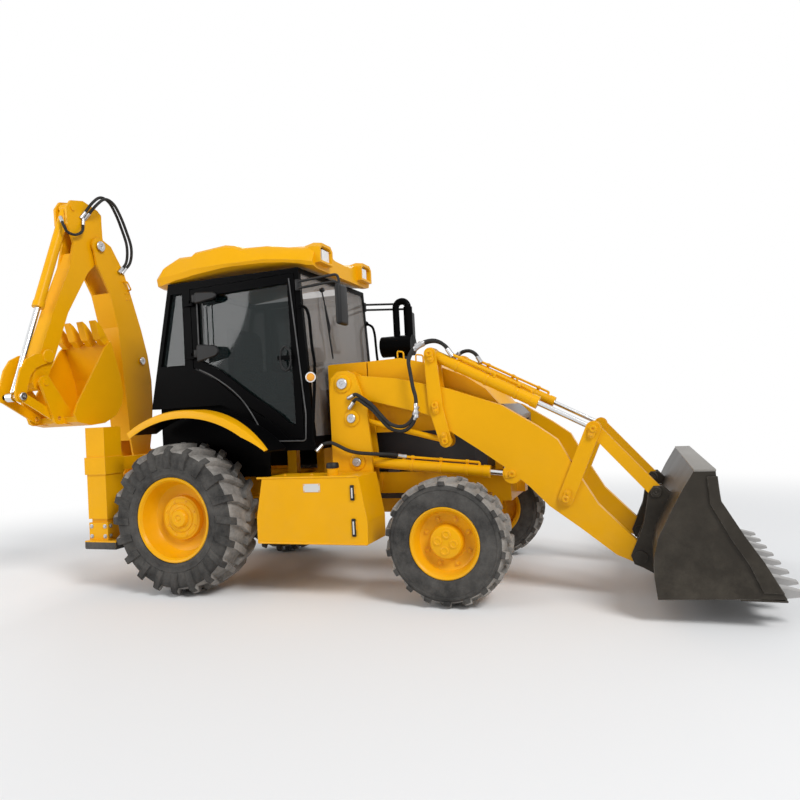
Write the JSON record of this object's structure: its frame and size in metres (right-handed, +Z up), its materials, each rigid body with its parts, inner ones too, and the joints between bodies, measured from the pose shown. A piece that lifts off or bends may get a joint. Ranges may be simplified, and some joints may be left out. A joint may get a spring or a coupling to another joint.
{
  "type": "backhoe loader",
  "caption": "Four-wheel backhoe loader with a front loading bucket on parallel arms, a glazed cab and a swinging digging arm parked across the rear, between two drop-leg stabilizers",
  "frame": {"origin": "on the floor, on the machine's centre plane, straight below the rear axle", "axes": "+X is forward, +Y is the machine's left, +Z is up"},
  "size_m": [6.265, 2.6438, 3.6778],
  "materials": {
    "yellow_paint": "gloss",
    "black_paint": "satin",
    "dark_cast": "rough cast",
    "grey_paint": "satin",
    "bucket_steel": "worn satin",
    "tyre_rubber": "matte",
    "glass": "tinted",
    "rod_chrome": "polished",
    "pin_steel": "brushed",
    "trim_plastic": "matte",
    "lens": "clear"
  },
  "bodies": {
    "machine": {"chassis_frame": "yellow_paint", "engine_block": "dark_cast", "hood_cowl": "yellow_paint", "cab_shell": "black_paint", "cab_roof": "yellow_paint", "cab_glass": "glass", "cab_interior": "trim_plastic", "lamps": "lens", "mirrors": "trim_plastic", "fenders": "yellow_paint", "side_tanks": "yellow_paint", "rear_axle": "yellow_paint", "front_axle": "yellow_paint", "rear_frame": "yellow_paint", "swing_carriage": "yellow_paint"},
    "hood": {"hood": "yellow_paint", "front_grille": "grey_paint", "exhaust": "black_paint"},
    "door_right": {"door_right": "black_paint", "door_glass_right": "glass"},
    "door_left": {"door_left": "black_paint", "door_glass_left": "glass"},
    "knuckle_right": {"knuckle_right": "yellow_paint"},
    "knuckle_left": {"knuckle_left": "yellow_paint"},
    "wheel_rear_right": {"tyre_rear_right": "tyre_rubber", "rim_rear_right": "yellow_paint"},
    "wheel_rear_left": {"tyre_rear_left": "tyre_rubber", "rim_rear_left": "yellow_paint"},
    "wheel_front_right": {"tyre_front_right": "tyre_rubber", "rim_front_right": "yellow_paint"},
    "wheel_front_left": {"tyre_front_left": "tyre_rubber", "rim_front_left": "yellow_paint"},
    "loader_arms": {"loader_arms": "yellow_paint", "arm_tube": "yellow_paint"},
    "lift_barrels": {"lift_barrels": "yellow_paint"},
    "lift_rods": {"lift_rods": "rod_chrome"},
    "rear_levers": {"rear_levers": "yellow_paint"},
    "level_links": {"level_links": "yellow_paint"},
    "tilt_barrels": {"tilt_barrels": "yellow_paint"},
    "tilt_rods": {"tilt_rods": "rod_chrome"},
    "lever_pins": {"lever_pins": "pin_steel"},
    "front_levers": {"front_levers": "yellow_paint"},
    "link_pins": {"link_pins": "pin_steel"},
    "bucket_links": {"bucket_links": "yellow_paint"},
    "bucket_pins": {"bucket_pins": "pin_steel"},
    "loader_bucket": {"loader_bucket": "bucket_steel"},
    "stabilizer_right": {"stabilizer_right": "yellow_paint"},
    "stabilizer_left": {"stabilizer_left": "yellow_paint"},
    "kingpost": {"kingpost": "yellow_paint"},
    "boom": {"boom": "yellow_paint"},
    "boom_barrel": {"boom_barrel": "yellow_paint"},
    "boom_rod": {"boom_rod": "rod_chrome"},
    "dipper": {"dipper": "yellow_paint"},
    "crowd_barrel": {"crowd_barrel": "yellow_paint"},
    "crowd_rod": {"crowd_rod": "rod_chrome"},
    "tip_barrel": {"tip_barrel": "yellow_paint"},
    "tip_rod": {"tip_rod": "rod_chrome"},
    "tip_levers": {"tip_levers": "yellow_paint"},
    "tip_link": {"tip_link": "yellow_paint"},
    "hoe_bucket": {"hoe_bucket": "yellow_paint"}
  },
  "joints": [
    {"name": "wheel_rear_right_spin", "type": "hinge", "parent": "machine", "child": "wheel_rear_right", "pos_m": [0, -0.875, 0.65], "axis": [0, 1, 0], "continuous": true},
    {"name": "wheel_rear_left_spin", "type": "hinge", "parent": "machine", "child": "wheel_rear_left", "pos_m": [0, 0.875, 0.65], "axis": [0, 1, 0], "continuous": true},
    {"name": "steering_left", "type": "hinge", "parent": "machine", "child": "knuckle_left", "pos_m": [2.37, 0.715, 0.4815], "axis": [0, 0, 1], "range_deg": [-35, 35]},
    {"name": "steering_right", "type": "hinge", "parent": "machine", "child": "knuckle_right", "pos_m": [2.37, -0.715, 0.4815], "axis": [0, 0, 1], "range_deg": [-36, 36]},
    {"name": "wheel_front_right_spin", "type": "hinge", "parent": "knuckle_right", "child": "wheel_front_right", "pos_m": [2.37, -0.885, 0.4815], "axis": [0, 1, 0], "continuous": true},
    {"name": "wheel_front_left_spin", "type": "hinge", "parent": "knuckle_left", "child": "wheel_front_left", "pos_m": [2.37, 0.885, 0.4815], "axis": [0, 1, 0], "continuous": true},
    {"name": "door_right_swing", "type": "hinge", "parent": "machine", "child": "door_right", "pos_m": [0.064, -0.745, 2.3], "axis": [0, 0, -1], "range_deg": [0, 88]},
    {"name": "door_left_swing", "type": "hinge", "parent": "machine", "child": "door_left", "pos_m": [0.064, 0.745, 2.3], "axis": [0, 0, 1], "range_deg": [0, 88]},
    {"name": "hood_lift", "type": "hinge", "parent": "machine", "child": "hood", "pos_m": [2.765, 0, 1.18], "axis": [0, 1, 0], "range_deg": [0, 50]},
    {"name": "arm_lift", "type": "hinge", "parent": "machine", "child": "loader_arms", "pos_m": [1.433, 0, 1.728], "axis": [0, -1, 0], "range_deg": [-3.5, 71]},
    {"name": "lift_barrel_swing", "type": "hinge", "parent": "machine", "child": "lift_barrels", "pos_m": [1.534, 0, 1.067], "axis": [0, -1, 0], "range_deg": [-4.43, 64.39]},
    {"name": "lift_rod_slide", "type": "slide", "parent": "lift_barrels", "child": "lift_rods", "axis": [0.9951, 0, -0.0985], "range_m": [-0.05227, 0.75931]},
    {"name": "rear_lever_swing", "type": "hinge", "parent": "loader_arms", "child": "rear_levers", "pos_m": [2.232, 0, 1.508], "axis": [0, -1, 0], "range_deg": [-72.49, 4.99]},
    {"name": "level_link_swing", "type": "hinge", "parent": "machine", "child": "level_links", "pos_m": [1.503, 0, 1.433], "axis": [0, -1, 0], "range_deg": [-4.99, 72.49]},
    {"name": "tilt_barrel_swing", "type": "hinge", "parent": "rear_levers", "child": "tilt_barrels", "pos_m": [2.207, 0, 1.924], "axis": [0, -1, 0], "range_deg": [-4.53, 65.78]},
    {"name": "lever_pin_turn", "type": "hinge", "parent": "loader_arms", "child": "lever_pins", "pos_m": [3.217, 0, 0.747], "axis": [0, -1, 0], "range_deg": [-54.69, 3.77]},
    {"name": "bucket_pin_turn", "type": "hinge", "parent": "loader_arms", "child": "bucket_pins", "pos_m": [3.728, 0, 0.323], "axis": [0, -1, 0], "range_deg": [-64.69, 4.45]},
    {"name": "bucket_tilt", "type": "hinge", "parent": "bucket_pins", "child": "loader_bucket", "pos_m": [3.728, 0, 0.323], "axis": [0, 1, 0], "range_deg": [-30, 45]},
    {"name": "tilt_rod_slide", "type": "slide", "parent": "tilt_barrels", "child": "tilt_rods", "axis": [0.8835, 0, -0.4685], "range_m": [-0.2394, 0.3534]},
    {"name": "front_lever_swing", "type": "hinge", "parent": "lever_pins", "child": "front_levers", "pos_m": [3.217, 0, 0.747], "axis": [0, 1, 0], "range_deg": [-25.2, 37.2]},
    {"name": "link_pin_turn", "type": "hinge", "parent": "front_levers", "child": "link_pins", "pos_m": [3.444, 0, 1.268], "axis": [0, -1, 0], "range_deg": [-3.94, 57.27]},
    {"name": "bucket_link_swing", "type": "hinge", "parent": "link_pins", "child": "bucket_links", "pos_m": [3.444, 0, 1.268], "axis": [0, 1, 0], "range_deg": [-39.99, 27.09]},
    {"name": "stabilizer_right_drop", "type": "slide", "parent": "machine", "child": "stabilizer_right", "axis": [0, 0, -1], "range_m": [0, 0.55]},
    {"name": "stabilizer_left_drop", "type": "slide", "parent": "machine", "child": "stabilizer_left", "axis": [0, 0, -1], "range_m": [0, 0.55]},
    {"name": "hoe_swing", "type": "hinge", "parent": "machine", "child": "kingpost", "pos_m": [-1.285, 0.2, 0.7], "axis": [0, 0, -1], "range_deg": [0, 180]},
    {"name": "boom_lower", "type": "hinge", "parent": "kingpost", "child": "boom", "pos_m": [-1.285, -0.05, 0.95], "axis": [1, 0, 0], "range_deg": [0, 125]},
    {"name": "boom_barrel_swing", "type": "hinge", "parent": "kingpost", "child": "boom_barrel", "pos_m": [-1.285, 0.17, 1.15], "axis": [1, 0, 0], "range_deg": [-2.21, 112.94]},
    {"name": "boom_rod_slide", "type": "slide", "parent": "boom_barrel", "child": "boom_rod", "axis": [0, -0.2106, 0.9776], "range_m": [-0.00962, 0.49042]},
    {"name": "dipper_out", "type": "hinge", "parent": "boom", "child": "dipper", "pos_m": [-1.285, -0.515, 3.257], "axis": [-1, 0, 0], "range_deg": [0, 120]},
    {"name": "crowd_barrel_swing", "type": "hinge", "parent": "boom", "child": "crowd_barrel", "pos_m": [-1.285, 0.01, 2.15], "axis": [-1, 0, 0], "range_deg": [-0.06, 3.17]},
    {"name": "crowd_rod_slide", "type": "slide", "parent": "crowd_barrel", "child": "crowd_rod", "axis": [0, -0.3344, 0.9424], "range_m": [-0.53213, 0.01043]},
    {"name": "hoe_bucket_open", "type": "hinge", "parent": "dipper", "child": "hoe_bucket", "pos_m": [-1.285, -1.253, 1.891], "axis": [-1, 0, 0], "range_deg": [0, 165]},
    {"name": "tip_lever_swing", "type": "hinge", "parent": "dipper", "child": "tip_levers", "pos_m": [-1.285, -1.16812, 2.13226], "axis": [-1, 0, 0], "range_deg": [-2.28, 116.28]},
    {"name": "tip_link_swing", "type": "hinge", "parent": "tip_levers", "child": "tip_link", "pos_m": [-1.285, -1.46785, 1.76681], "axis": [-1, 0, 0], "range_deg": [-42.43, 0.83]},
    {"name": "tip_barrel_swing", "type": "hinge", "parent": "dipper", "child": "tip_barrel", "pos_m": [-1.285, -0.79577, 3.57463], "axis": [-1, 0, 0], "range_deg": [-0.19, 9.6]},
    {"name": "tip_rod_slide", "type": "slide", "parent": "tip_barrel", "child": "tip_rod", "axis": [0, -0.3485, -0.9373], "range_m": [-0.76837, 0.01507]}
  ],
  "couplings": [
    {"joint": "steering_right", "follows": "steering_left", "ratio": 1},
    {"joint": "lift_barrel_swing", "follows": "arm_lift", "ratio": 0.88831},
    {"joint": "lift_rod_slide", "follows": "arm_lift", "m_per_rad": 0.60015},
    {"joint": "rear_lever_swing", "follows": "arm_lift", "ratio": -1},
    {"joint": "level_link_swing", "follows": "arm_lift", "ratio": 1},
    {"joint": "tilt_barrel_swing", "follows": "arm_lift", "ratio": 0.90746},
    {"joint": "lever_pin_turn", "follows": "arm_lift", "ratio": -0.75451},
    {"joint": "bucket_pin_turn", "follows": "arm_lift", "ratio": -0.89239},
    {"joint": "tilt_rod_slide", "follows": "bucket_tilt", "m_per_rad": 0.43545},
    {"joint": "front_lever_swing", "follows": "bucket_tilt", "ratio": 0.8},
    {"joint": "link_pin_turn", "follows": "arm_lift", "ratio": 0.79},
    {"joint": "bucket_link_swing", "follows": "bucket_tilt", "ratio": -0.86},
    {"joint": "boom_barrel_swing", "follows": "boom_lower", "ratio": 0.88584},
    {"joint": "boom_rod_slide", "follows": "boom_lower", "m_per_rad": 0.22038},
    {"joint": "crowd_barrel_swing", "follows": "dipper_out", "ratio": 0.025917},
    {"joint": "crowd_rod_slide", "follows": "dipper_out", "m_per_rad": -0.24909},
    {"joint": "tip_lever_swing", "follows": "hoe_bucket_open", "ratio": 0.69091},
    {"joint": "tip_link_swing", "follows": "hoe_bucket_open", "ratio": -0.25212},
    {"joint": "tip_barrel_swing", "follows": "hoe_bucket_open", "ratio": 0.05703},
    {"joint": "tip_rod_slide", "follows": "hoe_bucket_open", "m_per_rad": -0.26158}
  ]
}
